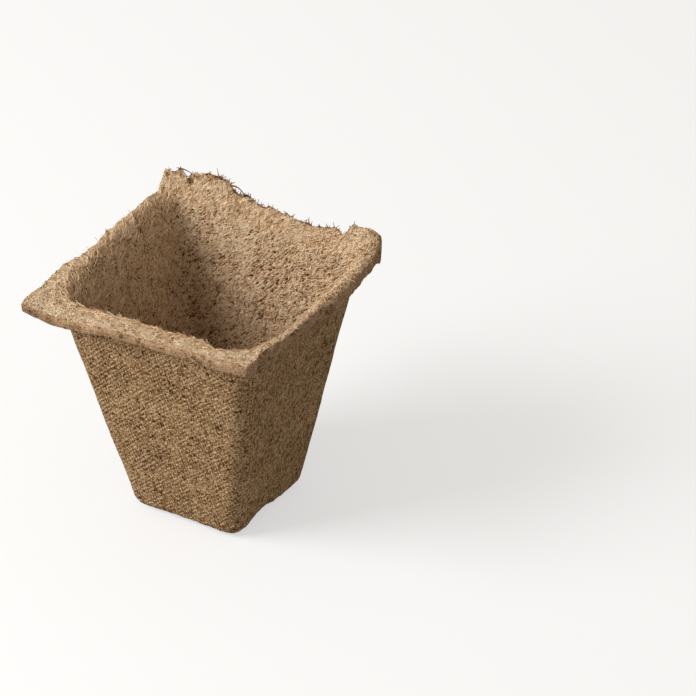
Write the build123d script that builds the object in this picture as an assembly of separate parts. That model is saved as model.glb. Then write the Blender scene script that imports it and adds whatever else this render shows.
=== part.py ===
"""Square peat pot: a thin tapered tub moulded from peat and wood fibre, with a ragged turned-out rim.

Frame, in millimetres: the origin is the centre of the underside, +Z is up, and the front wall faces -Y.
The pot is one moulding. It is laid out here as its base, its four walls and its four rim sides, which meet
face to face at the mitres of the mould, and as the loose fibres that stand out of each torn rim side.
"""

import os
from math import cos, pi, radians, sin, sqrt

from build123d import *

# Tub: outside widths are across flats, the base's where the straight walls would meet the ground
HEIGHT = 80.0
BASE_WIDTH = 41.8
MOUTH_WIDTH = 70.4
WALL = 2.4
FLOOR = 2.6
BASE_CORNER = 6.0
MOUTH_CORNER = 8.0
FOOT_ROUND = 3.5
FLOOR_ROUND = 3.0

# Rim: its torn edge runs from ear to ear along each side.
# Overhang is how far the edge stands out past the tub's outside, square to a side.
# Rise is above the plain rim, which is level with HEIGHT.
# A station on a side is its place, as a share of half the mouth's width to the right of the side's middle
# as seen from outside, then its overhang and its rise.
RIM_THICKNESS = 2.6
RIM_PANELS = 12
EAR_OVERHANG = {"front_left": 6.0, "front_right": 2.3, "back_right": 3.0, "back_left": 4.0}
EAR_RISE = {"front_left": 0.6, "front_right": 3.0, "back_right": 6.0, "back_left": 7.8}
EAR_THICKNESS = {"front_left": 2.6, "front_right": 4.2, "back_right": 8.5, "back_left": 1.8}
EDGE_THICKNESS = {"front": 3.0, "right": 4.5, "back": 1.6, "left": 2.2}
TORN_EDGE = {
    "front": [(-0.8, 3.1, -1.7), (-0.5, 3.1, -0.8), (-0.25, 3.1, 0.1), (0.2, 3.1, 0.6), (0.8, 3.2, 1.9)],
    "right": [(-0.8, 2.3, 3.6), (-0.5, 2.3, 1.0), (0.0, 2.4, 0.0), (0.3, 2.6, -1.8), (0.8, 3.4, 0.3)],
    "back": [
        (-0.8, 3.1, 7.4),
        (-0.74, 3.1, 3.4),
        (-0.45, 3.1, 2.6),
        (0.05, 3.1, 5.0),
        (0.38, 3.1, 7.0),
        (0.45, 3.1, 9.2),
        (0.65, 3.1, 10.9),
        (0.8, 3.1, 9.9),
    ],
    "left": [
        (-0.8, 4.2, 4.0),
        (-0.5, 3.7, 3.7),
        (-0.1, 5.2, 3.5),
        (0.3, 5.1, 3.4),
        (0.45, 6.6, 3.3),
        (0.8, 6.6, 2.4),
    ],
}

# How each side turns over: its crest and its lip, each as its inset from the tub's outside and its rise.
# The crest goes up and down with the torn edge by a share.
CREST = {"front": (1.6, 1.4), "right": (-1.0, 0.6), "back": (-1.4, 3.0), "left": (-2.3, 3.2)}
LIP = {"front": (4.8, -0.6), "right": (0.2, -0.6), "back": (0.3, 0.5), "left": (0.2, 1.0)}
CREST_FOLLOW = 0.35

# Loose fibres: thin strands rooted in the torn edge, one to a panel of a rim side at most
FIBRE_SPACING = {"front": 17.0, "right": 12.5, "back": 5.0, "left": 10.0}
FIBRE_WIDTH = 0.36
FIBRE_TIP_WIDTH = 0.16
FIBRE_SHORT = 2.0
FIBRE_LONG = 4.5
FIBRE_ROOT = 0.6
FIBRE_LIFT = 40.0
FIBRE_SWING = 35.0

# Each side with its left and right corner as seen from outside, and its turn about +Z from the front
SIDES = {
    "front": ("front_left", "front_right", 0),
    "right": ("front_right", "back_right", 90),
    "back": ("back_right", "back_left", 180),
    "left": ("back_left", "front_left", 270),
}
RIM_BOTTOM = HEIGHT - RIM_THICKNESS
GOLDEN_SHARE = (sqrt(5) - 1) / 2


def outside_width(z):
    """Outside width of the tub at a height."""
    return BASE_WIDTH + (MOUTH_WIDTH - BASE_WIDTH) * z / RIM_BOTTOM


def outside_corner(z):
    """Outside corner radius of the tub at a height."""
    return BASE_CORNER + (MOUTH_CORNER - BASE_CORNER) * z / RIM_BOTTOM


def tapered_block(bottom_z, inset, bottom_round):
    """A rounded square block that widens from bottom_z up to the rim, set in from the tub's outside."""
    outlines = []
    for z in (bottom_z, RIM_BOTTOM):
        width = outside_width(z) - 2 * inset
        outlines.append(Plane.XY.offset(z) * RectangleRounded(width, width, outside_corner(z) - inset))
    block = loft([outline.face() for outline in outlines], ruled=True)
    return fillet(block.faces().sort_by(Axis.Z)[0].edges(), bottom_round)


def tub():
    """The moulded tub below the rim, with its rounded foot and its rounded inside floor edge."""
    return tapered_block(0, 0, FOOT_ROUND) - tapered_block(FLOOR, WALL, FLOOR_ROUND)


def base(whole_tub):
    """The floor of the tub."""
    return split(whole_tub, bisect_by=Plane.XY.offset(FLOOR), keep=Keep.BOTTOM)


def wall(whole_tub, turn):
    """One wall of the tub above its floor, cut at the mitres through the axis."""
    mitre = make_face(Polyline((0, 0), (-MOUTH_WIDTH, -MOUTH_WIDTH), (MOUTH_WIDTH, -MOUTH_WIDTH), close=True))
    wedge = Pos(0, 0, FLOOR) * extrude(mitre, RIM_BOTTOM)
    return whole_tub & (Rot(0, 0, turn) * wedge)


def straight_half():
    """Half the straight run of a wall at the mouth, between its rounded corners."""
    return MOUTH_WIDTH / 2 - MOUTH_CORNER


def rim_stations():
    """Places along a rim side: None for each mitre, and between them the distance from the side's middle."""
    step = 2 * straight_half() / (RIM_PANELS - 2)
    return [None] + [-straight_half() + i * step for i in range(RIM_PANELS - 1)] + [None]


def torn_edge(side, sideways):
    """Overhang and rise of a rim side's torn edge at a distance from the side's middle."""
    share = 2 * sideways / MOUTH_WIDTH
    stations = TORN_EDGE[side]
    for near, far in zip(stations, stations[1:]):
        if share <= far[0]:
            break
    part = min(max((share - near[0]) / (far[0] - near[0]), 0), 1)
    return [near[i] + (far[i] - near[i]) * part for i in (1, 2)]


def neighbour(side, on_right):
    """The side round the corner."""
    names = list(SIDES)
    return names[(names.index(side) + (1 if on_right else -1)) % len(names)]


def turn_over(place, side, on_right, at_mitre):
    """Inset and rise of a side's crest or lip; at a mitre, midway to the next side's."""
    inset, rise = place[side]
    if at_mitre:
        next_inset, next_rise = place[neighbour(side, on_right)]
        inset = (inset + next_inset) / 2
        rise = (rise + next_rise) / 2
    return inset, rise


def mitre_inset(radius):
    """How far a rounded corner stays inside its sharp one on the mitre, along each axis."""
    return radius * (1 - cos(pi / 4))


def rim_section(side, index):
    """Corner points of one rim station, from the inner wall face outwards and back over the top."""
    sideways = rim_stations()[index]
    left, right, _ = SIDES[side]
    on_right = index > RIM_PANELS / 2
    at_mitre = sideways is None
    ear = right if on_right else left
    half = MOUTH_WIDTH / 2
    outer = half - (mitre_inset(MOUTH_CORNER) if at_mitre else 0)
    inner = half - WALL - (mitre_inset(MOUTH_CORNER - WALL) if at_mitre else 0)
    if at_mitre:
        overhang, rise, thickness = EAR_OVERHANG[ear], EAR_RISE[ear], EAR_THICKNESS[ear]
    else:
        overhang, rise = torn_edge(side, sideways)
        thickness = EDGE_THICKNESS[side]
    crest_inset, crest_rise = turn_over(CREST, side, on_right, at_mitre)
    lip_inset, lip_rise = turn_over(LIP, side, on_right, at_mitre)
    crest_rise += (rise - crest_rise) * CREST_FOLLOW
    profile = [
        (inner, RIM_BOTTOM),
        (outer, RIM_BOTTOM),
        (half + overhang, HEIGHT + rise - thickness),
        (half + overhang, HEIGHT + rise),
        (outer - crest_inset, HEIGHT + crest_rise),
        (outer - lip_inset, HEIGHT + lip_rise),
    ]
    mitre_sign = 1 if on_right else -1
    return [Vector(mitre_sign * out if at_mitre else sideways, -out, z) for out, z in profile]


def rim(side):
    """One side of the rim from mitre to mitre, in the front's place."""
    sections = [make_face(Polyline(*rim_section(side, i), close=True)) for i in range(RIM_PANELS + 1)]
    return loft(sections, ruled=True)


def fibre(side, panel, rim_side):
    """One loose strand, rooted in the middle of a panel's torn face and cut off where it leaves the rim."""
    corners = [point for index in (panel, panel + 1) for point in rim_section(side, index)[2:4]]
    middle = sum(corners, Vector()) / len(corners)
    swing = radians(FIBRE_SWING * (2 * (panel * GOLDEN_SHARE % 1) - 1))
    lift = radians(FIBRE_LIFT)
    direction = Vector(sin(swing) * cos(lift), -cos(swing) * cos(lift), sin(lift))
    length = FIBRE_SHORT + (FIBRE_LONG - FIBRE_SHORT) * (2 * panel * GOLDEN_SHARE % 1)
    strand_plane = Plane(origin=middle - direction * FIBRE_ROOT, z_dir=direction)
    root_face = strand_plane * Rectangle(FIBRE_WIDTH, FIBRE_WIDTH)
    tip_face = strand_plane.offset(FIBRE_ROOT + length) * Rectangle(FIBRE_TIP_WIDTH, FIBRE_TIP_WIDTH)
    strand = loft([root_face.face(), tip_face.face()], ruled=True)
    return max((strand - rim_side).solids(), key=lambda solid: solid.volume)


def fibres(side, rim_side):
    """The loose strands of one rim side, spread evenly over the panels of its straight run."""
    count = round(2 * straight_half() / FIBRE_SPACING[side])
    panels = {1 + (2 * i + 1) * (RIM_PANELS - 2) // (2 * count) for i in range(count)}
    return Compound([fibre(side, panel, rim_side) for panel in sorted(panels)])


def pot():
    """Every piece of the pot by its node's name."""
    whole_tub = tub()
    pieces = {"base": base(whole_tub)}
    for side, (_, _, turn) in SIDES.items():
        rim_side = rim(side)
        pieces[f"wall_{side}"] = wall(whole_tub, turn)
        pieces[f"rim_{side}"] = Rot(0, 0, turn) * rim_side
        pieces[f"rim_fibres_{side}"] = Rot(0, 0, turn) * fibres(side, rim_side)
    return pieces


os.makedirs("parts", exist_ok=True)
for name, piece in pot().items():
    export_step(piece, f"parts/{name}.step")
    print(name, round(piece.volume, 1), piece.bounding_box().size)
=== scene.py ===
"""Look of the square peat pot: a tub pressed from peat and wood fibre, standing alone on a pale floor.

The pot's skin is one sheet of points that runs up the outside of the walls, under and over the torn rim, and
down the inside to the floor. It is roughened as a whole and then cut into the base, the walls and the rim
sides, each in the place of its CAD node. Lengths are in millimetres until a mesh is made.
"""

import math

import bpy
import numpy as np
from mathutils import Matrix, Vector


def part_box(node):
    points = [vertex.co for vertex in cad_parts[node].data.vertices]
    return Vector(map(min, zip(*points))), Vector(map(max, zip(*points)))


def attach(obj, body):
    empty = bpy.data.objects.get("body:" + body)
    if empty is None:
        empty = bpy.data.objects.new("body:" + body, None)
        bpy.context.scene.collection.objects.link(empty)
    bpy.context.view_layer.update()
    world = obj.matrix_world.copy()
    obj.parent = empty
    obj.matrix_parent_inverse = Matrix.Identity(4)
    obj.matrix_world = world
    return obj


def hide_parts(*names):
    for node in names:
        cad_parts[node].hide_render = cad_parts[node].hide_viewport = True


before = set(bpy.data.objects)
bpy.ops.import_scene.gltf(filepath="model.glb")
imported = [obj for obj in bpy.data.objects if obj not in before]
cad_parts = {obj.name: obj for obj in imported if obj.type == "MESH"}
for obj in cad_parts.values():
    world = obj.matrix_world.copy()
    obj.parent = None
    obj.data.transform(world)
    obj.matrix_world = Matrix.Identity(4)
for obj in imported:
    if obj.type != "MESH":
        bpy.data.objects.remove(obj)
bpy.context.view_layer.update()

MM = 0.001
SEED = 7

# The tub, from the CAD nodes
wall_low, wall_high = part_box("wall_front")
base_low, base_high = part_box("base")
FLOOR = base_high.z / MM
RIM_BOTTOM = wall_high.z / MM
MOUTH_HALF = -wall_low.y / MM
FLARE = (MOUTH_HALF + base_low.y / MM) / (RIM_BOTTOM - FLOOR)
BASE_HALF = MOUTH_HALF - FLARE * RIM_BOTTOM
WALL = 2.4
BASE_CORNER = 6.0
MOUTH_CORNER = 8.0
FOOT_ROUND = 3.5
FLOOR_ROUND = 5.0
FOOT_ARCH = 0.7
FOOT_LUMPS = 0.3
# A dent under the right side of the foot: its x and y, its half widths along each, and its lift
FOOT_DENT = (21.5, -8.0, 4.5, 9.0, 3.3)

# How far each corner of the foot is warped out of square, in x and y, from the front left one round
FOOT_WARP = ((-0.4, 0.4), (-1.4, -0.3), (0.3, -3.2), (0.0, 0.0))

# The torn rim. Each ear is (x, y, height of its top, thickness of the torn face).
# Between its ears a side has stations: (along the side, reach from the axis, height of the top, thickness).
# Along is counted from the side's middle, to the right as seen from outside.
EARS = {
    "front_left": (-43.4, -39.2, 80.6, 3.2),
    "front_right": (36.3, -38.8, 83.0, 4.4),
    "back_right": (38.5, 38.4, 86.0, 10.1),
    "back_left": (-40.2, 38.4, 87.8, 1.4),
}
TORN_EDGE = {
    "front": [
        (-37.0, 38.6, 78.9, 3.2),
        (-27.0, 38.3, 78.3, 3.1),
        (-18.0, 38.3, 79.3, 3.0),
        (-9.0, 38.3, 80.1, 2.9),
        (2.0, 38.3, 80.5, 2.8),
        (15.0, 38.3, 81.1, 3.4),
        (27.0, 38.4, 81.8, 3.9),
    ],
    "right": [
        (-34.0, 37.3, 83.2, 4.4),
        (-31.5, 37.4, 83.9, 4.8),
        (-28.0, 37.4, 83.4, 4.8),
        (-22.5, 37.5, 82.1, 4.4),
        (-16.5, 37.5, 81.0, 4.0),
        (-11.0, 37.5, 80.7, 4.3),
        (-4.0, 37.5, 80.0, 4.7),
        (1.0, 37.6, 79.8, 4.9),
        (9.5, 37.9, 78.1, 4.4),
        (16.5, 38.3, 78.8, 4.9),
        (25.0, 38.7, 80.2, 5.0),
        (33.0, 38.5, 80.6, 4.4),
        (36.6, 38.4, 82.8, 6.2),
    ],
    "back": [
        (-36.4, 38.4, 87.3, 4.5),
        (-30.8, 38.4, 87.2, 2.2),
        (-28.7, 38.3, 87.2, 1.8),
        (-28.0, 38.2, 85.6, 1.6),
        (-27.3, 38.1, 84.0, 1.5),
        (-26.5, 38.0, 83.2, 1.5),
        (-25.0, 38.0, 83.6, 1.5),
        (-23.2, 38.1, 84.3, 1.5),
        (-21.6, 38.1, 83.8, 1.5),
        (-17.5, 38.1, 82.9, 1.5),
        (-12.0, 38.2, 82.7, 1.5),
        (-8.0, 38.2, 83.4, 1.5),
        (0.0, 38.3, 84.8, 1.5),
        (6.8, 38.3, 85.2, 1.4),
        (9.0, 38.4, 86.5, 1.3),
        (13.6, 38.4, 86.8, 1.3),
        (15.2, 38.4, 88.6, 1.2),
        (22.5, 38.4, 90.6, 1.1),
        (27.5, 38.3, 89.5, 1.1),
        (29.6, 38.3, 89.0, 1.0),
        (30.4, 38.3, 87.3, 1.0),
        (32.6, 38.3, 87.2, 1.0),
        (33.4, 38.3, 88.7, 1.1),
        (37.0, 38.4, 87.5, 1.2),
    ],
    "left": [
        (-34.5, 39.6, 84.8, 1.6),
        (-32.0, 38.8, 84.0, 1.8),
        (-25.0, 39.3, 83.8, 1.9),
        (-19.0, 38.9, 83.6, 2.0),
        (-12.0, 39.6, 83.5, 2.1),
        (-4.5, 40.5, 83.4, 2.2),
        (4.0, 39.8, 83.3, 2.2),
        (11.5, 40.3, 83.2, 2.2),
        (16.0, 41.9, 83.1, 2.3),
        (26.0, 41.8, 82.9, 2.4),
        (32.0, 42.5, 82.4, 2.4),
        (37.0, 43.4, 81.6, 2.8),
    ],
}
RAGGED = {"front": 0.2, "right": 0.6, "back": 0.8, "left": 0.7}
# How far the foot of the torn face is drawn in under its top
FACE_LEAN = {"front": 0.2, "right": 0.6, "back": 0.2, "left": 0.3}
# How far the top of the torn face is rounded off, which fades out at the ears
FACE_ROUND = {"front": 0.9, "right": 0.1, "back": 0.0, "left": 0.1}
# How much darker the torn edge is than the felt: partly its dark fibres, partly painted shade of the edge's
# thickness
EDGE_DARK_FIBRES_AND_SHADE = {"front": 0.0, "right": 0.1, "back": 1.0, "left": 0.2}
# How each side turns over its top: reach and height of its crest and of its lip, which draw the curve,
# and the height at which it has come down to the plain inside of the wall
TURN_OVER = {
    "front": (33.2, 81.8, 25.4, 82.2, 72.0),
    "right": (36.4, 81.6, 33.4, 80.4, 70.0),
    "back": (36.2, 83.4, 33.8, 78.6, 69.0),
    "left": (38.4, 84.0, 35.8, 84.2, 75.0),
}
CREST_FOLLOW = 0.35
# How far the lip is filled in at each corner, from the front left one round
CORNER_FILL = (0.9, 4.0, 0.8, 0.0)
# A worn place in the front lip: its place along the side, its half width and its depth
WORN_LIP = (26.5, 5.5, 6.0)

# Sides in order round the pot, each turned a quarter on from the last, with its ears
SIDES = ("front", "right", "back", "left")
SIDE_EARS = {
    "front": ("front_left", "front_right"),
    "right": ("front_right", "back_right"),
    "back": ("back_right", "back_left"),
    "left": ("back_left", "front_left"),
}

# Points along a side and rows up each stretch of the skin
STEPS = 176
FOOT_ROWS = 12
EDGE_ROWS = 12
TOP_ROWS = 52
TOP_SPLIT = 32
INNER_ROWS = 170
OUTER_ROWS = INNER_ROWS + TOP_ROWS - TOP_SPLIT - 2
UNDER_ROWS = TOP_SPLIT + 2 - EDGE_ROWS
RING = 4 * STEPS
# Rows of the rim's top that are lumpy, and rows below and above the torn edge that may be darker, partly
# with dark fibres and partly with painted shade
BAND_ROWS = 24
DARK_ROWS = (4, 9)
# Columns over which the torn face's rounding and the dip of the cut in the foot fade out at a mitre
ROUND_FADE = 14
DIP_FADE = 12
# Height of that cut's dip
DIP_HEIGHT = 1.9

# Camera fitted to the photo: a long lens, its bearings in degrees and its place in millimetres
CAMERA_AZIMUTH = 30.437
CAMERA_ELEVATION = 34.428
CAMERA_ROLL = -1.232
CAMERA_OFFSET = (40.78, 44.99, 1151.05)
CAMERA_LENS = 186.2

columns_to_mitre = STEPS / 2 - np.abs(np.arange(RING) % STEPS - STEPS / 2)

random = np.random.default_rng(SEED)
lattice_order = random.permutation(4096)
lattice_slopes = random.normal(size=(4096, 3))
lattice_slopes /= np.linalg.norm(lattice_slopes, axis=1)[:, None]


def noise(points, size, salt=0):
    """Smooth random field, about -1 to 1, with lumps of a size in millimetres."""
    places = points / size + 17.3 * salt
    cell = np.floor(places).astype(np.int64)
    inside = places - cell
    ease = inside * inside * inside * (inside * (inside * 6 - 15) + 10)
    total = np.zeros(len(points))
    for corner in np.ndindex(2, 2, 2):
        key = cell + corner
        spot = lattice_order[(key[:, 0]) % 4096]
        spot = lattice_order[(spot + key[:, 1]) % 4096]
        spot = lattice_order[(spot + key[:, 2]) % 4096]
        slope = np.einsum("ij,ij->i", lattice_slopes[spot], inside - corner)
        weight = np.prod(np.where(np.array(corner) == 1, ease, 1 - ease), axis=1)
        total += slope * weight
    return 1.6 * total


def smooth_through(places, values, wanted):
    """Values at the wanted places, on a smooth curve through the given ones."""
    slopes = np.gradient(values, places)
    span = np.clip(np.searchsorted(places, wanted) - 1, 0, len(places) - 2)
    width = places[span + 1] - places[span]
    share = (wanted - places[span]) / width
    from_start = (1 + 2 * share) * (1 - share) ** 2 * values[span]
    from_start += share * (1 - share) ** 2 * width * slopes[span]
    from_end = share**2 * (3 - 2 * share) * values[span + 1]
    return from_start + from_end + share**2 * (share - 1) * width * slopes[span + 1]


def turned(side_index, along, reach):
    """World x and y of a place along a side at a reach from the axis."""
    quarter = ((along, -reach), (reach, along), (-along, reach), (-reach, -along))
    return quarter[side_index]


def ring_points(half, corner, z):
    """One level ring of a rounded square, its points even along each side from mitre to mitre."""
    share = np.linspace(-1, 1, STEPS, endpoint=False)
    straight = half - corner
    run = np.abs(share) * (straight + corner * math.pi / 4)
    angle = np.maximum(run - straight, 0) / corner
    along = np.sign(share) * (np.minimum(run, straight) + corner * np.sin(angle))
    reach = straight + corner * np.cos(angle)
    xy = np.concatenate([np.stack(turned(i, along, reach), axis=1) for i in range(4)])
    return np.column_stack([xy, np.full(RING, z)])


def varied_ring(reach, corner, z):
    """Ring of a rounded square whose reach and height change from column to column."""
    low, high = (ring_points(half, corner, 0.0) for half in (20.0, 40.0))
    ring = low + (high - low) * ((reach - 20.0) / 20.0)[:, None]
    ring[:, 2] = z
    return ring


def round_the_pot(by_side):
    """One value a column from one a side, changing softly at the corners."""
    values = np.repeat(by_side, STEPS).astype(float)
    for _ in range(2):
        width = STEPS // 6
        ahead = np.concatenate([values[-width:], values, values[:width]])
        values = np.convolve(ahead, np.ones(2 * width + 1) / (2 * width + 1), "valid")
    return values


def outer_ring(z, inset=0.0):
    """Ring of the tub's outside at a height, drawn in by an inset."""
    corner = BASE_CORNER + (MOUTH_CORNER - BASE_CORNER) * z / RIM_BOTTOM
    return ring_points(BASE_HALF + FLARE * z - inset, max(corner - inset, 1.5), z)


def torn_edge():
    """Top of the torn edge round the pot, and the thickness of its face."""
    edge = []
    depth = []
    share = np.linspace(0, 1, STEPS, endpoint=False)
    for index, side in enumerate(SIDES):
        stations = list(TORN_EDGE[side])
        for place, ear in zip((0, len(stations) + 1), SIDE_EARS[side]):
            x, y, height, thick = EARS[ear]
            along, reach = ((x, -y), (y, x), (-x, y), (-y, -x))[index]
            stations.insert(place, (along, reach, height, thick))
        table = np.array(stations)
        along = table[0, 0] + (table[-1, 0] - table[0, 0]) * share
        reach, height, thick = (smooth_through(table[:, 0], table[:, i], along) for i in (1, 2, 3))
        place = np.column_stack([*turned(index, along, reach), height])
        torn = RAGGED[side] * np.minimum(1, 8 * np.minimum(share, 1 - share) + 0.25)
        reach = reach + torn * (0.7 * noise(place, 3.4, 1) + 0.5 * noise(place, 1.5, 2))
        height = height + torn * (0.6 * noise(place, 3.8, 3) + 0.7 * noise(place, 1.3, 4))
        edge.append(np.column_stack([*turned(index, along, reach), height]))
        depth.append(thick * (1 + 0.10 * noise(place, 6.0, 5)))
    return np.concatenate(edge), np.concatenate(depth)


def bezier(corners, count):
    """Rows of points along cubic curves, one curve per column."""
    t = np.linspace(0, 1, count)[:, None, None]
    a, b, c, d = corners
    return (1 - t) ** 3 * a + 3 * t * (1 - t) ** 2 * b + 3 * t * t * (1 - t) * c + t**3 * d


def mix(a, b, share):
    """A share of the way from a to b."""
    return a + (b - a) * share


def skin_rows():
    """The smooth skin: a list of stretches, each rows of rings, from the underside up, over and in."""
    angles = np.linspace(0, math.pi / 2, FOOT_ROWS)
    foot = []
    for angle in angles:
        z = FLOOR * (1 - math.cos(angle))
        inset = FOOT_ROUND * (1 - math.sin(math.acos(max(0, 1 - z / FOOT_ROUND))))
        foot.append(outer_ring(z, inset))
    outer = []
    under_start = RIM_BOTTOM - 3.0
    for z in np.linspace(FLOOR, under_start, OUTER_ROWS):
        inset = FOOT_ROUND * (1 - math.sin(math.acos(max(0, 1 - z / FOOT_ROUND))))
        outer.append(outer_ring(z, inset))

    edge, depth = torn_edge()
    plan = np.roll(edge, -2, axis=0) - np.roll(edge, 2, axis=0)
    outward = np.column_stack([plan[:, 1], -plan[:, 0], np.zeros(RING)])
    outward /= np.linalg.norm(outward, axis=1)[:, None]
    drop = np.column_stack([np.zeros((RING, 2)), depth])
    lean = round_the_pot([FACE_LEAN[side] for side in SIDES])[:, None]
    edge_bottom = edge - drop - lean * outward
    groove = outer_ring(RIM_BOTTOM)
    groove[:, 2] = mix(RIM_BOTTOM, edge_bottom[:, 2], 0.45)
    under = bezier(
        (outer[-1], outer_ring(RIM_BOTTOM - 0.2), mix(edge_bottom, groove, 0.6), edge_bottom),
        UNDER_ROWS,
    )
    t = np.linspace(0, 1, EDGE_ROWS)[:, None, None]
    bulge = np.minimum(0.35, 0.08 * depth)[None, :, None] * (1 - np.abs(2 * t - 1) ** 6)
    face = mix(edge_bottom, edge, t) + bulge * outward
    rounding = round_the_pot([FACE_ROUND[side] for side in SIDES])
    rounding *= np.clip(columns_to_mitre / ROUND_FADE, 0.1, 1)
    face = face - rounding[:, None] * np.clip(2.5 * t - 1.5, 0, 1) ** 2 * outward
    edge = face[-1]

    shape = np.array([TURN_OVER[side] for side in SIDES])
    crest_reach, crest_height, lip_reach, lip_height, start = (round_the_pot(shape[:, i]) for i in range(5))
    for corner, fill in enumerate(CORNER_FILL):
        away = np.abs((np.arange(RING) - corner * STEPS + RING // 2) % RING - RING // 2)
        near = fill * np.exp(-((away / (0.16 * STEPS)) ** 2))
        lip_reach -= near
        crest_reach -= 0.4 * near
    worn = (edge[:STEPS, 0] - WORN_LIP[0]) / WORN_LIP[1]
    lip_reach[:STEPS] += WORN_LIP[2] * np.exp(-(worn**2))
    crest = varied_ring(crest_reach, MOUTH_CORNER, mix(crest_height, edge[:, 2], CREST_FOLLOW))
    lip = varied_ring(lip_reach, MOUTH_CORNER - WALL, lip_height)
    plain = varied_ring(BASE_HALF + FLARE * start - WALL, MOUTH_CORNER - WALL, start)
    top = bezier((edge, crest, lip, plain), TOP_ROWS)

    inner = []
    for share in np.linspace(1, 0, INNER_ROWS):
        z = FLOOR + (start - FLOOR) * share
        rise = np.clip((z - FLOOR) / FLOOR_ROUND, 0, 1)
        inset = FLOOR_ROUND * (1 - np.sqrt(1 - (1 - rise) ** 2))
        corner = mix(BASE_CORNER - WALL, MOUTH_CORNER - WALL, share) - 0.3 * inset.max()
        inner.append(varied_ring(BASE_HALF + FLARE * z - WALL - inset, corner, z))
    later = (np.array(outer), under, face, top, np.array(inner))
    return [np.array(foot)] + [rows[1:] for rows in later]


def floor_patch(boundary):
    """A square grid that fills a ring, as points in rows, its rim on the ring's own points."""
    grid = np.zeros((STEPS + 1, STEPS + 1, 3))
    sides = boundary.reshape(4, STEPS, 3)
    ends = np.roll(sides[:, 0], -1, axis=0)[:, None]
    front, right, back, left = np.concatenate([sides, ends], axis=1)
    u = np.linspace(0, 1, STEPS + 1)[:, None]
    for row in range(STEPS + 1):
        v = row / STEPS
        ruled = mix(front, back[::-1], v) + mix(left[::-1][row], right[row], u)
        corners = mix(mix(front[0], front[-1], u), mix(left[0], right[-1], u), v)
        grid[row] = ruled - corners
    return grid


def grid_quads(index):
    """Quads between neighbouring entries of a grid of point numbers."""
    a, b = index[:-1, :-1], index[:-1, 1:]
    c, d = index[1:, 1:], index[1:, :-1]
    return np.stack([a, b, c, d], axis=-1).reshape(-1, 4)


def point_normals(points, quads):
    """Normals of points, averaged over the faces round them."""
    corners = points[quads]
    facing = np.cross(corners[:, 2] - corners[:, 0], corners[:, 3] - corners[:, 1])
    normals = np.zeros_like(points)
    for corner in range(4):
        for axis in range(3):
            normals[:, axis] += np.bincount(quads[:, corner], facing[:, axis], len(points))
    return normals / np.maximum(np.linalg.norm(normals, axis=1), 1e-12)[:, None]


stretches = skin_rows()
row_counts = [len(rows) for rows in stretches]
foot_end = row_counts[0]
outer_end = foot_end + row_counts[1]
under_end = outer_end + row_counts[2]
face_end = under_end + row_counts[3]
sheet = np.concatenate(stretches)
ROWS = len(sheet)
sheet_index = np.arange(ROWS * RING).reshape(ROWS, RING)
closed_index = np.concatenate([sheet_index, sheet_index[:, :1]], axis=1)


def patch_index(ring_row, first):
    """Point numbers of a floor grid: the ring's own round the outside, new ones inside."""
    index = np.zeros((STEPS + 1, STEPS + 1), dtype=np.int64)
    ring = sheet_index[ring_row]
    index[1:-1, 1:-1] = first + np.arange((STEPS - 1) ** 2).reshape(STEPS - 1, STEPS - 1)
    index[0, :] = ring[0 : STEPS + 1]
    index[:, -1] = ring[STEPS : 2 * STEPS + 1]
    index[-1, ::-1] = ring[2 * STEPS : 3 * STEPS + 1]
    index[::-1, 0] = np.append(ring[3 * STEPS :], ring[0])
    return index


under_patch = floor_patch(sheet[0])
inside_patch = floor_patch(sheet[-1])
under_index = patch_index(0, sheet_index.size)
inside_index = patch_index(ROWS - 1, sheet_index.size + (STEPS - 1) ** 2)
points = np.concatenate(
    [sheet.reshape(-1, 3), under_patch[1:-1, 1:-1].reshape(-1, 3), inside_patch[1:-1, 1:-1].reshape(-1, 3)]
)
skin_quads = np.concatenate(
    [grid_quads(closed_index), grid_quads(under_index)[:, ::-1], grid_quads(inside_index)]
)

# Where the felted inside shows: none outside, some on the torn face, all of it over the top and inside
row_felt = np.concatenate(
    [
        np.zeros(outer_end),
        np.zeros(row_counts[2]),
        np.linspace(0, 0.3, row_counts[3]) ** 2,
        np.clip(np.linspace(0.3, 1.6, row_counts[4]), 0, 1),
        np.ones(row_counts[5]),
    ]
)
felt = np.concatenate([np.repeat(row_felt, RING), np.zeros((STEPS - 1) ** 2), np.ones((STEPS - 1) ** 2)])

# The band of the rim's top next to its torn edge, which is lumpy, and at the back also darker: partly dark
# fibres, partly painted shade of the torn edge
row_band = np.zeros(ROWS)
row_band[face_end : face_end + BAND_ROWS] = np.sin(np.linspace(0, math.pi, BAND_ROWS))
edge_band = np.zeros(len(points))
edge_band[: sheet_index.size] = np.repeat(row_band, RING)
row_dark = np.zeros(ROWS)
row_dark[face_end - DARK_ROWS[0] : face_end + DARK_ROWS[1]] = np.linspace(1, 0, sum(DARK_ROWS))
edge_dark_fibres_and_shade = np.zeros(len(points))
column_dark = round_the_pot([EDGE_DARK_FIBRES_AND_SHADE[side] for side in SIDES])
edge_dark_fibres_and_shade[: sheet_index.size] = np.outer(row_dark, column_dark).ravel()

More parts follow.
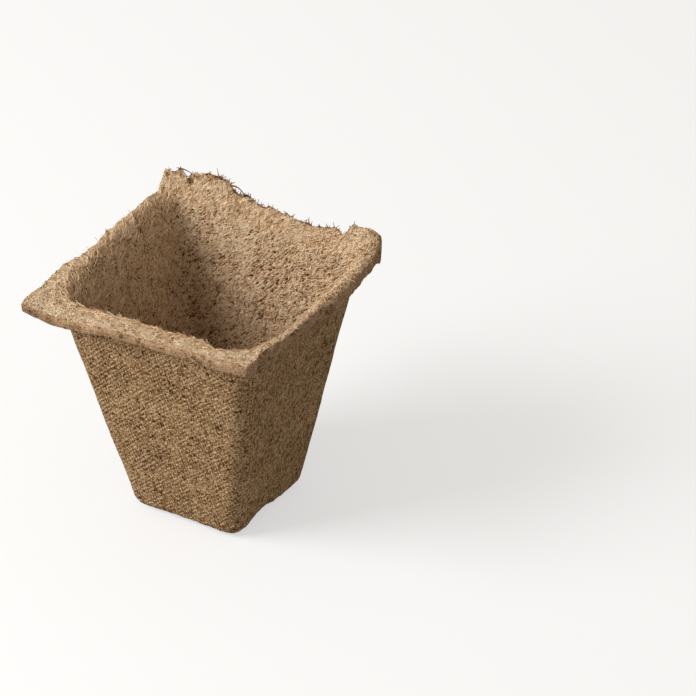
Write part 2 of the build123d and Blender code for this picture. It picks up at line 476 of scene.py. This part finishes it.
# Roughen the skin along its own normals
smooth_normals = point_normals(points, skin_quads)
warp = 0.3 * noise(points, 24.0, 11) + 0.14 * noise(points, 9.0, 12)
soft_lumps = 0.08 * noise(points, 4.0, 13) + 0.05 * noise(points, 1.6, 14)
clumps = 0.32 * noise(points, 5.2, 15) + 0.28 * noise(points, 2.6, 16)
clumps += 0.20 * noise(points, 1.4, 17) + 0.10 * noise(points, 0.8, 18)
rim_lumps = 0.40 * noise(points, 3.0, 21) + 0.22 * noise(points, 1.5, 22)
relief = soft_lumps * (1 - felt) + clumps * felt + rim_lumps * edge_band
low = np.clip(1 - points[:, 2] / 7, 0, 1) * (felt < 0.5)
foot_lumps = FOOT_LUMPS * (noise(points, 3.6, 19) + 0.6 * noise(points, 1.8, 20))
points = points + (warp * (1 - low) + relief + foot_lumps * low)[:, None] * smooth_normals
arch = FOOT_ARCH * (1 - np.clip(np.abs(points[:, :2]).min(axis=1) / BASE_HALF, 0, 1) ** 2)
from_dent = (points[:, :2] - FOOT_DENT[:2]) / FOOT_DENT[2:4]
points[:, 2] += (arch + FOOT_DENT[4] * np.exp(-(from_dent**2).sum(axis=1))) * low
points[:, 2] = np.maximum(points[:, 2], 0)
points[:, 2] -= points[:, 2].min() * low
half_width = BASE_HALF + FLARE * points[:, 2:]
u, v = (np.clip(0.5 + 0.5 * points[:, i : i + 1] / half_width, 0, 1) for i in (0, 1))
front_left, front_right, back_right, back_left = np.array(FOOT_WARP)
shift = mix(mix(front_left, front_right, u), mix(back_left, back_right, u), v)
points[:, :2] += shift * np.clip(1 - points[:, 2:] / RIM_BOTTOM, 0, 1)
normals = point_normals(points, skin_quads)

# A ring hidden inside the foot, at which the cut between base and walls dips below the inside floor's edge
dip = np.clip(columns_to_mitre / DIP_FADE, 0, 1)
hidden_ring = mix(points[sheet_index[-1]], points[sheet_index[foot_end - 1]], 0.5)
hidden_ring[:, 2] -= dip * np.maximum(hidden_ring[:, 2] - DIP_HEIGHT, 0)
hidden_index = len(points) + np.arange(RING)
points = np.concatenate([points, hidden_ring])
normals = np.concatenate([normals, np.tile((0.0, 0.0, 1.0), (RING, 1))])
# The relief, less the darker torn edge, goes on the points as an attribute: the felt's colour is darker
# where it is low, which is painted shade in the hollows
relief = np.concatenate([relief - edge_dark_fibres_and_shade, np.zeros(RING)])


def side_columns(side_index):
    """Columns of the sheet along one side, both mitres with it."""
    return np.arange(side_index * STEPS, (side_index + 1) * STEPS + 1) % RING


def make_mesh(name, places, quads, bake_uv, skin_uv, face_material, materials, facing, relief_values):
    """A mesh object from point, quad and corner arrays, in metres; skin map and normals may be None."""
    mesh = bpy.data.meshes.new(name)
    mesh.vertices.add(len(places))
    mesh.vertices.foreach_set("co", (places * MM).ravel())
    mesh.loops.add(4 * len(quads))
    mesh.loops.foreach_set("vertex_index", quads.ravel())
    mesh.polygons.add(len(quads))
    mesh.polygons.foreach_set("loop_start", np.arange(0, 4 * len(quads), 4))
    for material in materials:
        mesh.materials.append(material)
    mesh.update(calc_edges=True)
    mesh.polygons.foreach_set("material_index", face_material)
    mesh.shade_smooth()
    for layer_name, values in (("OFBake", bake_uv), ("Skin", skin_uv)):
        if values is not None:
            layer = mesh.uv_layers.new(name=layer_name)
            layer.uv.foreach_set("vector", values.ravel())
    attribute = mesh.attributes.new("relief", "FLOAT", "POINT")
    attribute.data.foreach_set("value", relief_values)
    if facing is not None:
        mesh.normals_split_custom_set_from_vertices(facing)
    piece = bpy.data.objects.new(name, mesh)
    bpy.context.scene.collection.objects.link(piece)
    return piece


class Cut:
    """Faces gathered for one piece of the skin, with their two maps."""

    def __init__(self):
        self.quads = []
        self.bake = []
        self.skin = []
        self.material = []

    def add(self, index, bake_box, skin_map, material):
        """One grid of point numbers, laid into a box of the bake map."""
        rows, columns = index.shape
        u = np.linspace(bake_box[0], bake_box[2], columns)
        v = np.linspace(bake_box[1], bake_box[3], rows)
        bake_map = np.stack(np.broadcast_arrays(u[None, :], v[:, None]), axis=-1)
        corner = grid_quads(np.arange(rows * columns).reshape(rows, columns))
        self.quads.append(grid_quads(index))
        self.bake.append(bake_map.reshape(-1, 2)[corner])
        self.skin.append(skin_map.reshape(-1, 2)[corner])
        self.material.append(np.full(len(corner), material))

    def flip(self):
        """Turns the faces added last to look the other way."""
        for part in (self.quads, self.bake, self.skin):
            part[-1] = part[-1][:, ::-1]

    def piece(self, name, materials):
        """The gathered faces as one object, with the whole skin's normals."""
        quads = np.concatenate(self.quads)
        used, local = np.unique(quads, return_inverse=True)
        return make_mesh(
            name,
            points[used],
            local.reshape(-1, 4),
            np.concatenate(self.bake),
            np.concatenate(self.skin),
            np.concatenate(self.material),
            materials,
            normals[used],
            relief[used],
        )


def skin_map_of(index):
    """Millimetres along and up the skin for a grid of point numbers."""
    grid = points[index]
    along = np.linalg.norm(np.diff(grid, axis=1), axis=-1)
    along = np.concatenate([np.zeros((len(grid), 1)), np.cumsum(along, axis=1)], axis=1)
    along -= along[:, -1:] / 2
    up = np.linalg.norm(np.diff(grid, axis=0), axis=-1)
    up = np.concatenate([np.zeros((1, grid.shape[1])), np.cumsum(up, axis=0)])
    return np.stack([along, up], axis=-1)


# Materials


class Nodes:
    """Short hand for building one node material."""

    def __init__(self, name):
        self.material = bpy.data.materials.new(name)
        self.material.use_nodes = True
        self.tree = self.material.node_tree
        self.shader = self.tree.nodes["Principled BSDF"]

    def add(self, kind, inputs=None, **settings):
        """A node with its settings, its inputs set or linked."""
        node = self.tree.nodes.new(kind)
        for key, value in settings.items():
            setattr(node, key, value)
        for key, value in (inputs or {}).items():
            self.give(node.inputs[key], value)
        return node

    def give(self, socket, value):
        """Links an output to a socket, or sets the socket."""
        if isinstance(value, bpy.types.NodeSocket):
            self.tree.links.new(value, socket)
        else:
            socket.default_value = value

    def math(self, operation, a, b=0.0):
        """A sum on two values."""
        return self.add("ShaderNodeMath", {0: a, 1: b}, operation=operation).outputs[0]

    def ramp(self, value, low, high):
        """0 below low to 1 above high, smoothly."""
        node = self.add(
            "ShaderNodeMapRange",
            {"Value": value, "From Min": low, "From Max": high},
            interpolation_type="SMOOTHSTEP",
        )
        return node.outputs["Result"]

    def grain(self, vector, size, detail=2.0, rough=0.5, warp_by=0.0):
        """Noise with lumps of a size in millimetres."""
        node = self.add(
            "ShaderNodeTexNoise",
            {
                "Vector": vector,
                "Scale": 1 / (size * MM),
                "Detail": detail,
                "Roughness": rough,
                "Distortion": warp_by,
            },
        )
        return node.outputs["Fac"]

    def stretched(self, vector, turn, length):
        """Coordinates drawn out along a turned axis, for fibres that lie that way."""
        node = self.add(
            "ShaderNodeMapping",
            {"Vector": vector, "Rotation": [math.radians(a) for a in turn], "Scale": (length, 1.0, 1.0)},
            vector_type="TEXTURE",
        )
        return node.outputs[0]


# Turns of the axes along which fibres lie, in degrees
FIBRE_TURNS = ((0, -45, 0), (0, -25, 0), (0, -60, 90), (0, 30, 40))
FELT_SLANT = (0, -45, 15)
CREASE_SLANT = (0, -25, 0)


def lying_fibres(nodes, position, width, length, fine):
    """Matted fibres: thin lines that run several ways, 1 on a line and 0 between."""
    lines = None
    for number, turn in enumerate(FIBRE_TURNS):
        shifted = nodes.add("ShaderNodeVectorMath", {0: position, 1: (0.01 * number, 0.02 * number, 0)})
        drawn = nodes.stretched(shifted.outputs[0], turn, length)
        off_line = nodes.math("SUBTRACT", nodes.grain(drawn, width, 1.0, 0.5, 0.3), 0.5)
        line = nodes.ramp(nodes.math("ABSOLUTE", off_line), fine, 0.0)
        lines = line if lines is None else nodes.math("MAXIMUM", lines, line)
    return lines


def tones(nodes, value, colours):
    """A colour from a value, through a few colours spread evenly from 0 to 1."""
    node = nodes.add("ShaderNodeValToRGB", {0: value})
    stops = node.color_ramp.elements
    while len(stops) < len(colours):
        stops.new(0.5)
    for number, colour in enumerate(colours):
        stops[number].position = number / (len(colours) - 1)
        stops[number].color = (*colour, 1)
    return node.outputs[0]


def weighted(nodes, start, terms):
    """A start value with weighted terms added."""
    total = start
    for weight, term in terms:
        total = nodes.math("ADD", total, nodes.math("MULTIPLY", term, weight))
    return total


def round_pits(nodes, position, spacing, share):
    """Small round pits of mixed size: 1 in a pit and 0 between."""
    cells = nodes.add(
        "ShaderNodeTexVoronoi",
        {"Vector": position, "Scale": 1 / (spacing * MM), "Randomness": 1.0},
    )
    chosen = nodes.add("ShaderNodeSeparateColor", {0: cells.outputs["Color"]}).outputs[0]
    size = nodes.math("MULTIPLY", nodes.math("SUBTRACT", chosen, 1 - share), 0.5 / share)
    return nodes.ramp(nodes.math("SUBTRACT", size, cells.outputs["Distance"]), -0.14, 0.06)


FELT_TONES = ((0.06, 0.020, 0.006), (0.36, 0.182, 0.076), (0.68, 0.424, 0.228), (0.96, 0.73, 0.49))
TORN_TONES = ((0.10, 0.050, 0.024), (0.34, 0.205, 0.112), (0.54, 0.356, 0.216), (0.76, 0.56, 0.38))
PRESSED_TONES = ((0.033, 0.013, 0.004), (0.19, 0.095, 0.037), (0.43, 0.252, 0.118), (0.76, 0.54, 0.31))


def felt_material(name, middle, shaggy, pitted):
    """The loose felted side: pale matted fibres, mostly slanted one way, over soft dark gaps."""
    nodes = Nodes(name)
    position = nodes.add("ShaderNodeTexCoord").outputs["Object"]
    # The skin's relief: low places are painted darker, which is painted shade in the hollows
    hollow_shade = nodes.add("ShaderNodeAttribute", attribute_name="relief").outputs["Fac"]
    lines = lying_fibres(nodes, position, 0.8, 3.5, 0.07)
    broad = nodes.grain(position, 7.0, 2.0)
    clump = nodes.grain(nodes.stretched(position, FELT_SLANT, 1.8), 1.4, 3.0, 0.6)
    streak = nodes.grain(nodes.stretched(position, FELT_SLANT, 3.5), 0.48, 2.0, 0.6, 0.4)
    fine = nodes.grain(position, 0.45, 2.0, 0.6)
    gaps = nodes.grain(nodes.stretched(position, FELT_SLANT, 2.4), 0.65, 2.0, 0.55, 0.5)
    above_floor = nodes.add("ShaderNodeSeparateXYZ", {0: position}).outputs["Z"]
    gaps = nodes.math("MULTIPLY", nodes.ramp(gaps, 0.42, 0.30), nodes.ramp(above_floor, 4 * MM, 20 * MM))
    # Long creases, drawn as dark lines in the colour, which is painted shade in the creases, and as grooves
    # in the bump
    off_crease = nodes.grain(nodes.stretched(position, CREASE_SLANT, 2.5), 5.0, 3.0)
    off_crease = nodes.math("SUBTRACT", off_crease, 0.5)
    creases = nodes.ramp(nodes.math("ABSOLUTE", off_crease), 0.022, 0.0)
    creases = nodes.math("MULTIPLY", creases, nodes.ramp(nodes.grain(position, 4.0, 1.0), 0.5, 0.65))
    pits = round_pits(nodes, position, 1.6, 0.4)
    tone = weighted(
        nodes,
        middle - 1.2 - 2.9 * shaggy,
        (
            (0.20, lines),
            (0.8 + 0.9 * shaggy, clump),
            (3.8 * shaggy, streak),
            (1.0 + 1.1 * shaggy, fine),
            (0.6, broad),
            (0.45, hollow_shade),
            (-0.75 * shaggy, gaps),
            (-0.45 * shaggy, creases),
            (-pitted, pits),
        ),
    )
    nodes.give(nodes.shader.inputs["Base Color"], tones(nodes, tone, FELT_TONES))
    nodes.shader.inputs["Roughness"].default_value = 0.95
    nodes.shader.inputs["Specular IOR Level"].default_value = 0.1
    height = weighted(
        nodes,
        0.0,
        (
            (0.3, lines),
            (0.9, clump),
            (1.4 * shaggy, streak),
            (0.5, fine),
            (-0.7 * shaggy, gaps),
            (-0.6 * shaggy, creases),
            (-pitted, pits),
        ),
    )
    bump = nodes.add("ShaderNodeBump", {"Strength": 1.0, "Distance": 0.0011, "Height": height})
    nodes.give(nodes.shader.inputs["Normal"], bump.outputs[0])
    return nodes.material


# The forming screen's two sets of wires, in lines per millimetre along and up the skin, and their wander
WEAVE_WIRES = ((0.52, -0.57), (0.90, 0.16))
WEAVE_WANDER = 1.3


def pressed_material(name):
    """The pressed side: the imprint of a woven forming screen, with pits, flecks and a few fibres."""
    nodes = Nodes(name)
    position = nodes.add("ShaderNodeTexCoord").outputs["Object"]
    skin = nodes.add("ShaderNodeUVMap", uv_map="Skin").outputs[0]
    wander = nodes.add("ShaderNodeTexNoise", {"Vector": position, "Scale": 1 / (4 * MM), "Detail": 2.0})
    pushed = nodes.add(
        "ShaderNodeVectorMath",
        {0: wander.outputs["Color"], 1: (WEAVE_WANDER, WEAVE_WANDER, WEAVE_WANDER)},
        operation="MULTIPLY",
    )
    skin = nodes.add("ShaderNodeVectorMath", {0: skin, 1: pushed.outputs[0]}).outputs[0]
    weave = 0.0
    for along, up in WEAVE_WIRES:
        wave = nodes.add("ShaderNodeVectorMath", {0: skin, 1: (along, up, 0)}, operation="DOT_PRODUCT")
        wave = nodes.math("SINE", nodes.math("MULTIPLY", wave.outputs["Value"], 2 * math.pi))
        weave = nodes.math("ADD", weave, wave)
    clear = nodes.ramp(nodes.grain(position, 4.5, 3.0, 0.6), 0.30, 0.60)
    weave = nodes.math("MULTIPLY", weave, clear)
    broad = nodes.grain(position, 12.0, 3.0)
    clump = nodes.grain(position, 1.4, 3.0, 0.6)
    fine = nodes.grain(position, 0.48, 2.0, 0.6)
    lines = lying_fibres(nodes, position, 0.9, 4.0, 0.035)
    pits = round_pits(nodes, position, 1.5, 0.45)
    tone = weighted(
        nodes,
        -1.44,
        ((0.14, lines), (1.2, clump), (2.5, fine), (0.4, broad), (0.115, weave), (-0.34, pits)),
    )
    nodes.give(nodes.shader.inputs["Base Color"], tones(nodes, tone, PRESSED_TONES))
    nodes.shader.inputs["Roughness"].default_value = 0.9
    nodes.shader.inputs["Specular IOR Level"].default_value = 0.1
    height = weighted(nodes, 0.0, ((0.44, weave), (1.0, fine), (-0.8, pits), (0.3, lines)))
    bump = nodes.add("ShaderNodeBump", {"Strength": 1.0, "Distance": 0.0004, "Height": height})
    nodes.give(nodes.shader.inputs["Normal"], bump.outputs[0])
    return nodes.material


def torn_material(name, middle):
    """The torn face of the rim: smoother and paler than the walls, with a few small pits."""
    nodes = Nodes(name)
    position = nodes.add("ShaderNodeTexCoord").outputs["Object"]
    broad = nodes.grain(position, 6.0, 2.0)
    clump = nodes.grain(position, 1.6, 3.0, 0.6)
    fine = nodes.grain(position, 0.45, 2.0, 0.6)
    pits = round_pits(nodes, position, 2.0, 0.35)
    tone = weighted(nodes, middle - 1.5, ((0.8, clump), (1.6, fine), (0.6, broad), (-0.28, pits)))
    nodes.give(nodes.shader.inputs["Base Color"], tones(nodes, tone, TORN_TONES))
    nodes.shader.inputs["Roughness"].default_value = 0.9
    nodes.shader.inputs["Specular IOR Level"].default_value = 0.1
    height = weighted(nodes, 0.0, ((0.8, clump), (0.7, fine), (-0.6, pits)))
    bump = nodes.add("ShaderNodeBump", {"Strength": 1.0, "Distance": 0.0006, "Height": height})
    nodes.give(nodes.shader.inputs["Normal"], bump.outputs[0])
    return nodes.material


def strand_material(name, tone_colours):
    """Single fibres, each strand its own shade."""
    nodes = Nodes(name)
    shade = nodes.add("ShaderNodeAttribute", attribute_name="relief").outputs["Fac"]
    position = nodes.add("ShaderNodeTexCoord").outputs["Object"]
    tone = weighted(nodes, -0.25, ((1.0, shade), (0.5, nodes.grain(position, 0.7, 2.0))))
    nodes.give(nodes.shader.inputs["Base Color"], tones(nodes, tone, tone_colours))
    nodes.shader.inputs["Roughness"].default_value = 0.8
    return nodes.material


pressed = pressed_material("pressed_fibre")
rim_face = torn_material("rim_face_fibre", 0.41)
felted = felt_material("felted_fibre", 0.82, 1.0, 0.0)
rim_top = felt_material("rim_fibre", 0.78, 0.42, 0.30)
floor_felt = felt_material("floor_fibre", 0.78, 0.5, 0.10)
loose = strand_material("loose_fibre", PRESSED_TONES)
matted = strand_material("matted_fibre", FELT_TONES)

# Cut the skin into its pieces
WALL_RUN = math.hypot(1, FLARE) * (RIM_BOTTOM - 3.0 - FLOOR)
inner_split = face_end + TOP_SPLIT
for side_index, side in enumerate(SIDES):
    columns = side_columns(side_index)

    wall = Cut()
    outside = sheet_index[foot_end - 1 : outer_end][:, columns]
    inside = sheet_index[inner_split:][:, columns]
    wall.add(outside, (0.01, 0.01, 0.49, 0.97), skin_map_of(outside), 0)
    wall.add(inside, (0.51, 0.01, 0.99, 0.97), skin_map_of(inside), 1)
    for cut_index, box in (
        (np.stack([outside[-1], inside[0]]), (0.01, 0.98, 0.24, 0.985)),
        (np.stack([inside[-1], hidden_index[columns], outside[0]]), (0.26, 0.98, 0.49, 0.985)),
    ):
        wall.add(cut_index, box, skin_map_of(cut_index), 1)
    left_cut = np.stack([inside[::-1, 0], outside[:, 0]], axis=1)
    right_cut = np.stack([outside[:, -1], inside[::-1, -1]], axis=1)
    for cut_index, box in ((left_cut, (0.495, 0.01, 0.499, 0.97)), (right_cut, (0.501, 0.01, 0.505, 0.97))):
        wall.add(cut_index, box, skin_map_of(cut_index), 1)
    piece = wall.piece(f"look_wall_{side}", [pressed, felted])
    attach(piece, "root")
    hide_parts(f"wall_{side}")

    rim = Cut()
    below = sheet_index[outer_end - 1 : face_end][:, columns]
    above = sheet_index[face_end - 1 : inner_split + 1][:, columns]
    under = sheet_index[outer_end - 1 : under_end][:, columns]
    face = sheet_index[under_end - 1 : face_end][:, columns]
    rim.add(under, (0.01, 0.01, 0.99, 0.25), skin_map_of(under) + (0, WALL_RUN), 0)
    rim.add(face, (0.01, 0.27, 0.99, 0.45), skin_map_of(face), 1)
    rim.add(above, (0.01, 0.47, 0.99, 0.95), skin_map_of(above), 2)
    seam = np.stack([above[-1], below[0]])
    rim.add(seam, (0.01, 0.96, 0.99, 0.965), skin_map_of(seam), 2)
    left_cut = np.stack([above[:0:-1, 0], below[:, 0]], axis=1)
    right_cut = np.stack([below[:, -1], above[:0:-1, -1]], axis=1)
    for cut_index, box in ((left_cut, (0.002, 0.01, 0.006, 0.97)), (right_cut, (0.994, 0.01, 0.998, 0.97))):
        rim.add(cut_index, box, skin_map_of(cut_index), 2)
    piece = rim.piece(f"look_rim_{side}", [pressed, rim_face, rim_top])
    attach(piece, "root")
    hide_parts(f"rim_{side}")

floor = Cut()
floor.add(under_index, (0.01, 0.01, 0.49, 0.49), points[under_index][..., :2], 0)
floor.flip()
floor.add(inside_index, (0.51, 0.51, 0.99, 0.99), points[inside_index][..., :2], 1)
foot_index = closed_index[:foot_end]
floor.add(foot_index, (0.01, 0.51, 0.49, 0.60), skin_map_of(foot_index), 0)
ledge = np.stack([closed_index[foot_end - 1], np.append(hidden_index, hidden_index[0]), closed_index[-1]])
floor.add(ledge, (0.01, 0.62, 0.49, 0.63), skin_map_of(ledge), 1)
piece = floor.piece("look_base", [pressed, floor_felt])
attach(piece, "root")
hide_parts("base")

# Fibres as fine strands: some lie matted on the felt, some stand loose out of the torn edge
LYING_COUNT = 3400
FLOOR_COUNT = 1000
LOOSE_COUNT = {"front": 6, "right": 12, "back": 110, "left": 14}
# Tufts on the torn edge: place along the side, number of strands, spread and length
TUFTS = {
    "front": [],
    "right": [(-31.0, 5, 0.8, 0.7)],
    "back": [
        (-28.3, 10, 0.7, 1.3),
        (-21.0, 8, 0.9, 1.0),
        (-13.6, 4, 0.3, 2.0),
        (-9.0, 6, 1.2, 0.8),
        (0.5, 6, 1.5, 0.7),
        (8.0, 9, 0.8, 1.1),
        (10.6, 10, 0.9, 1.2),
        (13.0, 7, 0.7, 1.1),
        (15.4, 8, 0.6, 1.4),
        (18.0, 9, 0.7, 1.9),
        (23.0, 5, 0.7, 1.0),
        (28.0, 4, 0.5, 1.0),
        (30.3, 9, 0.8, 2.3),
        (33.0, 6, 0.8, 1.2),
        (39.0, 8, 0.7, 1.3),
    ],
    "left": [(32.0, 3, 0.6, 0.7)],
}
# Strands that span a gap in the torn edge: from and to along the side, their rise and their thickness
BRIDGES = {
    "front": [],
    "right": [],
    "back": [(34.0, 29.4, 0.3, 0.24), (33.6, 30.6, -0.7, 0.12), (15.0, 10.8, 0.9, 0.30)],
    "left": [],
}
STRAND_RINGS = 5
STRAND_SIDES = 4
# Ranges of the matted strands' length, radius, shade and arch, and the middle and spread of their slant
LYING_LENGTH = (1.0, 3.4)
LYING_RADIUS = (0.09, 0.17)
LYING_SHADE = (0.5, 1.35)
LYING_ARCH = (0.10, 0.40)
LYING_SLANT = (45, 32)
LYING_CURL = 0.25
LYING_SINK = 0.10
# The same for the loose strands, and their spread and lift from the skin's own normal
LOOSE_LENGTH = 0.45
LOOSE_RADIUS = (0.10, 0.26)
LOOSE_SHADE = (0.1, 0.6)
LOOSE_CURL = 0.5
LOOSE_SINK = 0.3
LOOSE_SPREAD = 0.5
LOOSE_LIFT = 0.3
BRIDGE_SHADE = 0.3
# Half the length of a torn side, along which the tufts are placed
TUFT_HALF = MOUTH_HALF + 3.2


def unit(vectors):
    """Vectors of length 1."""
    return vectors / np.linalg.norm(vectors, axis=-1, keepdims=True)


def strands_mesh(name, material, roots, directions, bends, lifts, lengths, radii, shades):
    """Tapered four-sided strands, each a bent path from its root, closed at both ends."""
    count = len(roots)
    along = np.linspace(0, 1, STRAND_RINGS)[None, :, None]
    paths = roots[:, None] + along * (lengths[:, None] * directions)[:, None]
    paths = paths + along**2 * bends[:, None] + np.sin(math.pi * along) * lifts[:, None]
    ways = unit(np.gradient(paths, axis=1))
    aside = unit(np.cross(ways, unit(directions[:, None] * (0.3, -0.2, 0.1) + (0.31, 0.52, 0.79))))
    third = np.cross(ways, aside)
    thick = radii[:, None, None] * (1 - 0.6 * along)
    angles = np.linspace(0, 2 * math.pi, STRAND_SIDES, endpoint=False)
    hoops = [paths + thick * (math.cos(a) * aside + math.sin(a) * third) for a in angles]
    places = np.stack(hoops, axis=2).reshape(-1, 3)

    size = STRAND_RINGS * STRAND_SIDES
    index = np.arange(size).reshape(STRAND_RINGS, STRAND_SIDES)
    one = grid_quads(np.concatenate([index, index[:, :1]], axis=1))
    one = np.concatenate([one, index[:1, ::-1], index[-1:]])
    quads = (one[None] + size * np.arange(count)[:, None, None]).reshape(-1, 4)

    step = 0.8 / (STRAND_RINGS - 1)
    corners = np.array([(0, 0), (0, 0.2), (step, 0.2), (step, 0)])
    cell = [
        corners + (step * ring, 0.2 * hoop)
        for ring in range(STRAND_RINGS - 1)
        for hoop in range(STRAND_SIDES)
    ]
    cell += [corners * (0.5, 1) + (0.82, 0), corners * (0.5, 1) + (0.82, 0.4)]
    cells = math.ceil(math.sqrt(count))
    place = np.stack([np.arange(count) % cells, np.arange(count) // cells], axis=1)
    bake = ((np.array(cell)[None] * 0.9 + 0.05) + place[:, None, None]) / cells
    piece = make_mesh(
        name,
        places,
        quads,
        bake.reshape(-1, 2),
        None,
        np.zeros(len(quads), dtype=int),
        [material],
        None,
        np.repeat(shades, size),
    )
    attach(piece, "root")
    return piece


def lying_strands(rng, name, numbers, directions):
    """Strands matted on the felt, each arched over the point of the skin that it starts from."""
    count = len(numbers)
    piece = strands_mesh(
        name,
        matted,
        points[numbers] - LYING_SINK * normals[numbers],
        directions,
        LYING_CURL * rng.normal(size=(count, 3)),
        normals[numbers] * rng.uniform(*LYING_ARCH, count)[:, None],
        rng.uniform(*LYING_LENGTH, count),
        rng.uniform(*LYING_RADIUS, count),
        rng.uniform(*LYING_SHADE, count),
    )


rng = np.random.default_rng(SEED + 9)
numbers = rng.choice(inside_index[4:-4, 4:-4].ravel(), FLOOR_COUNT, replace=False)
lying_strands(rng, "look_felt_base", numbers, unit(rng.normal(size=(FLOOR_COUNT, 3)) * (1, 1, 0)))

for side_index, side in enumerate(SIDES):
    rng = np.random.default_rng(SEED + 10 + side_index)

    spots = side_index * STEPS + rng.integers(2, STEPS - 2, LYING_COUNT)
    deep = rng.uniform(0, 1, LYING_COUNT)
    rows = (face_end + 14 + deep * (ROWS - face_end - 18)).astype(int)
    numbers = sheet_index[rows, spots]
    across = unit(points[sheet_index[rows, (spots + 1) % RING]] - points[sheet_index[rows, spots - 1]])
    upward = unit(points[sheet_index[rows - 2, spots]] - points[sheet_index[rows + 2, spots]])
    slant = math.pi - np.radians(rng.normal(*LYING_SLANT, LYING_COUNT))
    directions = unit(np.cos(slant)[:, None] * across + np.sin(slant)[:, None] * upward)
    lying_strands(rng, f"look_felt_{side}", numbers, directions)

    tufts = np.array(TUFTS[side]).reshape(-1, 4)
    tufts = np.repeat(tufts[:, [0, 2, 3]], tufts[:, 1].astype(int), axis=0)
    tuft_spots = tufts[:, 0] + tufts[:, 1] * rng.normal(size=len(tufts))
    tuft_spots = (0.5 + 0.5 * tuft_spots / TUFT_HALF) * STEPS
    spots = np.concatenate([rng.integers(4, STEPS - 4, LOOSE_COUNT[side]), tuft_spots])
    spots = side_index * STEPS + np.clip(spots.astype(int), 2, STEPS - 3)
    long = np.concatenate([np.full(LOOSE_COUNT[side], LOOSE_LENGTH), tufts[:, 2]])
    count = len(spots)
    rows = rng.integers(under_end + 3, face_end + 4, count)
    numbers = sheet_index[rows, spots]
    directions = unit(normals[numbers] + LOOSE_SPREAD * rng.normal(size=(count, 3)) + (0, 0, LOOSE_LIFT))
    torn_top = points[sheet_index[face_end - 1, side_columns(side_index)]]
    along_side = torn_top[:, :2] @ turned(side_index, 1.0, 0.0)
    bridges = np.array(BRIDGES[side]).reshape(-1, 4)
    ends = torn_top[np.abs(bridges[:, :2, None] - along_side).argmin(axis=2)]
    spans = np.linalg.norm(ends[:, 1] - ends[:, 0], axis=1)
    flat = np.zeros((len(bridges), 3))
    piece = strands_mesh(
        f"look_rim_fibres_{side}",
        loose,
        np.concatenate([points[numbers] - LOOSE_SINK * directions, ends[:, 0]]),
        np.concatenate([directions, (ends[:, 1] - ends[:, 0]) / spans[:, None]]),
        np.concatenate([LOOSE_CURL * rng.normal(size=(count, 3)), flat]),
        np.concatenate([np.zeros((count, 3)), flat + bridges[:, 2:3] * (0, 0, 1)]),
        np.concatenate([0.4 + long * rng.uniform(0.3, 1.2, count), spans]),
        np.concatenate([rng.uniform(*LOOSE_RADIUS, count), bridges[:, 3]]),
        np.concatenate([rng.uniform(*LOOSE_SHADE, count), np.full(len(bridges), BRIDGE_SHADE)]),
    )
    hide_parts(f"rim_fibres_{side}")

# Floor, light and camera


def pale_floor(shade, glow):
    """A floor of a plain shade that glows towards the camera alone, so that it looks white where lit."""
    nodes = Nodes("pale_floor")
    nodes.shader.inputs["Base Color"].default_value = (shade, shade, shade, 1)
    nodes.shader.inputs["Roughness"].default_value = 1.0
    nodes.shader.inputs["Specular IOR Level"].default_value = 0.0
    path = nodes.add("ShaderNodeLightPath")
    seen = nodes.math("MAXIMUM", path.outputs["Is Camera Ray"], path.outputs["Is Glossy Ray"])
    seen = nodes.math("MAXIMUM", seen, path.outputs["Is Transmission Ray"])
    nodes.shader.inputs["Emission Color"].default_value = (1, 1, 1, 1)
    nodes.give(nodes.shader.inputs["Emission Strength"], nodes.math("MULTIPLY", seen, glow))
    return nodes.material


FLOOR_SPAN = 6.0
bpy.ops.mesh.primitive_plane_add(size=FLOOR_SPAN, location=(0, 0, 0))
ground = bpy.context.object
ground.name = "ground"
ground.data.materials.append(pale_floor(0.40, 0.57))

world = bpy.data.worlds.new("soft_room")
world.use_nodes = True
bpy.context.scene.world = world
background = world.node_tree.nodes["Background"]
background.inputs["Color"].default_value = (1.0, 0.93, 0.83, 1)
background.inputs["Strength"].default_value = 0.48


def area_lamp(name, direction, distance, size, power):
    """A soft square lamp that looks at the pot's middle."""
    lamp = bpy.data.lights.new(name, "AREA")
    lamp.size = size
    lamp.energy = power
    holder = bpy.data.objects.new(name, lamp)
    bpy.context.scene.collection.objects.link(holder)
    middle = Vector((0, 0, 0.05))
    away = Vector(direction).normalized()
    holder.location = middle + away * distance
    holder.rotation_euler = away.to_track_quat("Z", "Y").to_euler()


area_lamp("key", (-0.59, -0.55, 0.59), 1.2, 0.65, 14.4)

azimuth = math.radians(CAMERA_AZIMUTH)
elevation = math.radians(CAMERA_ELEVATION)
roll = math.radians(CAMERA_ROLL)
level_away = math.cos(elevation)
backward = Vector(
    (math.sin(azimuth) * level_away, -math.cos(azimuth) * level_away, math.sin(elevation)),
)
level = Vector((0, 0, 1)).cross(backward).normalized()
upright = backward.cross(level)
rightward = math.cos(roll) * level + math.sin(roll) * upright
upward = math.cos(roll) * upright - math.sin(roll) * level
camera = bpy.data.objects.new("camera", bpy.data.cameras.new("camera"))
camera.data.lens = CAMERA_LENS
camera.data.sensor_width = 36.0
camera.data.clip_start = 0.01
bpy.context.scene.collection.objects.link(camera)
axes = Matrix((rightward, upward, backward)).transposed().to_4x4()
place = (rightward * CAMERA_OFFSET[0] + upward * CAMERA_OFFSET[1] + backward * CAMERA_OFFSET[2]) * MM
camera.matrix_world = Matrix.Translation(place) @ axes
bpy.context.scene.camera = camera
bpy.context.scene.view_settings.view_transform = "Standard"
